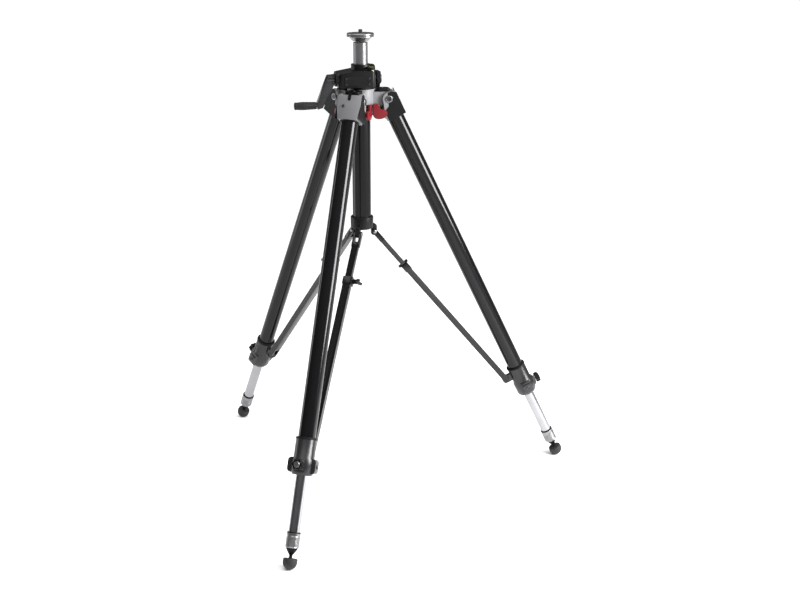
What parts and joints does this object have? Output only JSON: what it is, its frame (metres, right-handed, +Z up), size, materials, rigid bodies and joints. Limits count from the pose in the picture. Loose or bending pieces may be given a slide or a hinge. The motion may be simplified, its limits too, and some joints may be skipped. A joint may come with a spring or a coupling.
{
  "type": "camera tripod",
  "caption": "Heavy studio camera tripod: geared centre column with a crank, telescopic legs with locking collars, and telescopic braces.",
  "frame": {"origin": "on the floor, in the middle of the footprint's box", "axes": "+Z up along the centre column; one leg, the front one, points to -Y and the other two to +Y, left and right; the column's axis is at X 0"},
  "size_m": [0.8792, 0.7654, 1.0589],
  "materials": {
    "black_tube": "glossy black coated aluminium tube",
    "grey_casting": "light grey textured paint on a casting",
    "black_casting": "satin black paint on a casting",
    "dark_casting": "dark grey satin paint on a casting",
    "chrome_tube": "polished bright tube",
    "satin_metal": "satin turned aluminium",
    "steel": "plain turned steel",
    "red_plastic": "dark red semi-gloss moulding",
    "black_plastic": "black fine-textured moulding",
    "rubber": "black matt rubber",
    "level_vial": "yellow-green level vial"
  },
  "bodies": {
    "frame": {"spider": "grey_casting", "gear_housing": "black_casting", "bubble_level": "level_vial", "lock_stem": "steel", "sleeve_tube": "black_tube", "sleeve_cap": "black_plastic", "brace_hub": "black_casting", "arm_cover_front": "black_plastic", "leg_pin_front": "steel", "arm_cover_right": "black_plastic", "leg_pin_right": "steel", "arm_cover_left": "black_plastic", "leg_pin_left": "steel"},
    "column": {"column_tube": "satin_metal", "column_rack": "steel", "top_plate": "satin_metal", "head_stud": "steel"},
    "crank": {"pinion_shaft": "steel", "crank_arm": "dark_casting"},
    "crank_grip": {"crank_grip": "black_plastic"},
    "friction_knob": {"friction_knob": "black_plastic"},
    "lock_knob": {"lock_knob": "black_plastic"},
    "leg_front": {"leg_head_front": "grey_casting", "upper_tube_front": "black_tube", "leg_collar_front": "dark_casting"},
    "lower_leg_front": {"lower_tube_front": "chrome_tube", "foot_ring_front": "satin_metal", "foot_spike_front": "black_plastic"},
    "foot_front": {"rubber_foot_front": "rubber"},
    "collar_knob_front": {"collar_knob_front": "black_plastic"},
    "release_lever_front": {"release_lever_front": "red_plastic"},
    "brace_rod_front": {"brace_rod_front": "black_tube"},
    "brace_tube_front": {"brace_tube_front": "black_tube"},
    "wing_screw_front": {"wing_screw_front": "black_plastic"},
    "leg_right": {"leg_head_right": "grey_casting", "upper_tube_right": "black_tube", "leg_collar_right": "dark_casting"},
    "lower_leg_right": {"lower_tube_right": "chrome_tube", "foot_ring_right": "satin_metal", "foot_spike_right": "black_plastic"},
    "foot_right": {"rubber_foot_right": "rubber"},
    "collar_knob_right": {"collar_knob_right": "black_plastic"},
    "release_lever_right": {"release_lever_right": "red_plastic"},
    "brace_rod_right": {"brace_rod_right": "black_tube"},
    "brace_tube_right": {"brace_tube_right": "black_tube"},
    "wing_screw_right": {"wing_screw_right": "black_plastic"},
    "leg_left": {"leg_head_left": "grey_casting", "upper_tube_left": "black_tube", "leg_collar_left": "dark_casting"},
    "lower_leg_left": {"lower_tube_left": "chrome_tube", "foot_ring_left": "satin_metal", "foot_spike_left": "black_plastic"},
    "foot_left": {"rubber_foot_left": "rubber"},
    "collar_knob_left": {"collar_knob_left": "black_plastic"},
    "release_lever_left": {"release_lever_left": "red_plastic"},
    "brace_rod_left": {"brace_rod_left": "black_tube"},
    "brace_tube_left": {"brace_tube_left": "black_tube"},
    "wing_screw_left": {"wing_screw_left": "black_plastic"}
  },
  "joints": [
    {"name": "column_slide", "type": "slide", "parent": "frame", "child": "column", "axis": [0, 0, 1], "range_m": [-0.042, 0.25]},
    {"name": "crank_turn", "type": "hinge", "parent": "frame", "child": "crank", "pos_m": [0.01172, 0.1021, 0.95586], "axis": [0.866, 0.5, 0], "range_deg": [-270, 1600]},
    {"name": "grip_spin", "type": "hinge", "parent": "crank", "child": "crank_grip", "pos_m": [-0.09653, 0.0396, 0.89886], "axis": [0.866, 0.5, 0], "continuous": true},
    {"name": "friction_knob_turn", "type": "hinge", "parent": "crank", "child": "friction_knob", "pos_m": [-0.04024, 0.0721, 0.95586], "axis": [-0.866, -0.5, 0], "range_deg": [-90, 180]},
    {"name": "column_lock_turn", "type": "hinge", "parent": "frame", "child": "lock_knob", "pos_m": [0.03291, 0.14141, 0.95136], "axis": [0.866, 0.5, 0], "range_deg": [-30, 540]},
    {"name": "leg_fold_front", "type": "hinge", "parent": "frame", "child": "leg_front", "pos_m": [0, 0.06441, 0.90847], "axis": [1, 0, 0], "range_deg": [0, 22]},
    {"name": "brace_fold_front", "type": "hinge", "parent": "frame", "child": "brace_rod_front", "pos_m": [0, 0.09441, 0.60386], "axis": [1, 0, 0], "range_deg": [0, 34.74]},
    {"name": "brace_slide_front", "type": "slide", "parent": "brace_rod_front", "child": "brace_tube_front", "axis": [0, 0.6404, 0.768], "range_m": [0, 0.0562]},
    {"name": "leg_slide_front", "type": "slide", "parent": "leg_front", "child": "lower_leg_front", "axis": [0, -0.4352, -0.9003], "range_m": [-0.1, 0.36]},
    {"name": "foot_turn_front", "type": "hinge", "parent": "lower_leg_front", "child": "foot_front", "pos_m": [0, -0.36734, 0.01536], "axis": [0, 0.4352, 0.9003], "range_deg": [-360, 360]},
    {"name": "collar_knob_turn_front", "type": "hinge", "parent": "leg_front", "child": "collar_knob_front", "pos_m": [0, -0.31227, 0.21199], "axis": [0, -0.9003, 0.4352], "range_deg": [-180, 20]},
    {"name": "release_lever_press_front", "type": "hinge", "parent": "frame", "child": "release_lever_front", "pos_m": [0, 0.09441, 0.89647], "axis": [1, 0, 0], "range_deg": [-14, 0], "stiffness_Nm_per_rad": 0.4, "springref_deg": 11.46},
    {"name": "wing_screw_turn_front", "type": "hinge", "parent": "brace_tube_front", "child": "wing_screw_front", "pos_m": [0.02, 0.01948, 0.514], "axis": [1, 0, 0], "range_deg": [-180, 20]},
    {"name": "leg_fold_right", "type": "hinge", "parent": "frame", "child": "leg_right", "pos_m": [0.05023, 0.15141, 0.90847], "axis": [-0.5, 0.866, 0], "range_deg": [0, 22]},
    {"name": "brace_fold_right", "type": "hinge", "parent": "frame", "child": "brace_rod_right", "pos_m": [0.02425, 0.13641, 0.60386], "axis": [-0.5, 0.866, 0], "range_deg": [0, 34.74]},
    {"name": "brace_slide_right", "type": "slide", "parent": "brace_rod_right", "child": "brace_tube_right", "axis": [-0.5546, -0.3202, 0.768], "range_m": [0, 0.0562]},
    {"name": "leg_slide_right", "type": "slide", "parent": "leg_right", "child": "lower_leg_right", "axis": [0.3769, 0.2176, -0.9003], "range_m": [-0.1, 0.36]},
    {"name": "foot_turn_right", "type": "hinge", "parent": "lower_leg_right", "child": "foot_right", "pos_m": [0.42413, 0.36728, 0.01536], "axis": [-0.3769, -0.2176, 0.9003], "range_deg": [-360, 360]},
    {"name": "collar_knob_turn_right", "type": "hinge", "parent": "leg_right", "child": "collar_knob_right", "pos_m": [0.37644, 0.33975, 0.21199], "axis": [0.7797, 0.4502, 0.4352], "range_deg": [-180, 20]},
    {"name": "release_lever_press_right", "type": "hinge", "parent": "frame", "child": "release_lever_right", "pos_m": [0.02425, 0.13641, 0.89647], "axis": [-0.5, 0.866, 0], "range_deg": [-14, 0], "stiffness_Nm_per_rad": 0.4, "springref_deg": 11.46},
    {"name": "wing_screw_turn_right", "type": "hinge", "parent": "brace_tube_right", "child": "wing_screw_right", "pos_m": [0.07914, 0.19119, 0.514], "axis": [-0.5, 0.866, 0], "range_deg": [-180, 20]},
    {"name": "leg_fold_left", "type": "hinge", "parent": "frame", "child": "leg_left", "pos_m": [-0.05023, 0.15141, 0.90847], "axis": [-0.5, -0.866, 0], "range_deg": [0, 22]},
    {"name": "brace_fold_left", "type": "hinge", "parent": "frame", "child": "brace_rod_left", "pos_m": [-0.02425, 0.13641, 0.60386], "axis": [-0.5, -0.866, 0], "range_deg": [0, 34.74]},
    {"name": "brace_slide_left", "type": "slide", "parent": "brace_rod_left", "child": "brace_tube_left", "axis": [0.5546, -0.3202, 0.768], "range_m": [0, 0.0562]},
    {"name": "leg_slide_left", "type": "slide", "parent": "leg_left", "child": "lower_leg_left", "axis": [-0.3769, 0.2176, -0.9003], "range_m": [-0.1, 0.36]},
    {"name": "foot_turn_left", "type": "hinge", "parent": "lower_leg_left", "child": "foot_left", "pos_m": [-0.42413, 0.36728, 0.01536], "axis": [0.3769, -0.2176, 0.9003], "range_deg": [-360, 360]},
    {"name": "collar_knob_turn_left", "type": "hinge", "parent": "leg_left", "child": "collar_knob_left", "pos_m": [-0.37644, 0.33975, 0.21199], "axis": [-0.7797, 0.4502, 0.4352], "range_deg": [-180, 20]},
    {"name": "release_lever_press_left", "type": "hinge", "parent": "frame", "child": "release_lever_left", "pos_m": [-0.02425, 0.13641, 0.89647], "axis": [-0.5, -0.866, 0], "range_deg": [-14, 0], "stiffness_Nm_per_rad": 0.4, "springref_deg": 11.46},
    {"name": "wing_screw_turn_left", "type": "hinge", "parent": "brace_tube_left", "child": "wing_screw_left", "pos_m": [-0.09914, 0.15655, 0.514], "axis": [-0.5, -0.866, 0], "range_deg": [-180, 20]}
  ],
  "couplings": [
    {"joint": "crank_turn", "follows": "column_slide", "rad_per_m": 111.11},
    {"joint": "brace_fold_front", "follows": "leg_fold_front", "ratio": 1.5565},
    {"joint": "brace_slide_front", "follows": "leg_fold_front", "m_per_rad": 0.14518},
    {"joint": "brace_fold_right", "follows": "leg_fold_right", "ratio": 1.5565},
    {"joint": "brace_slide_right", "follows": "leg_fold_right", "m_per_rad": 0.14518},
    {"joint": "brace_fold_left", "follows": "leg_fold_left", "ratio": 1.5565},
    {"joint": "brace_slide_left", "follows": "leg_fold_left", "m_per_rad": 0.14518}
  ]
}
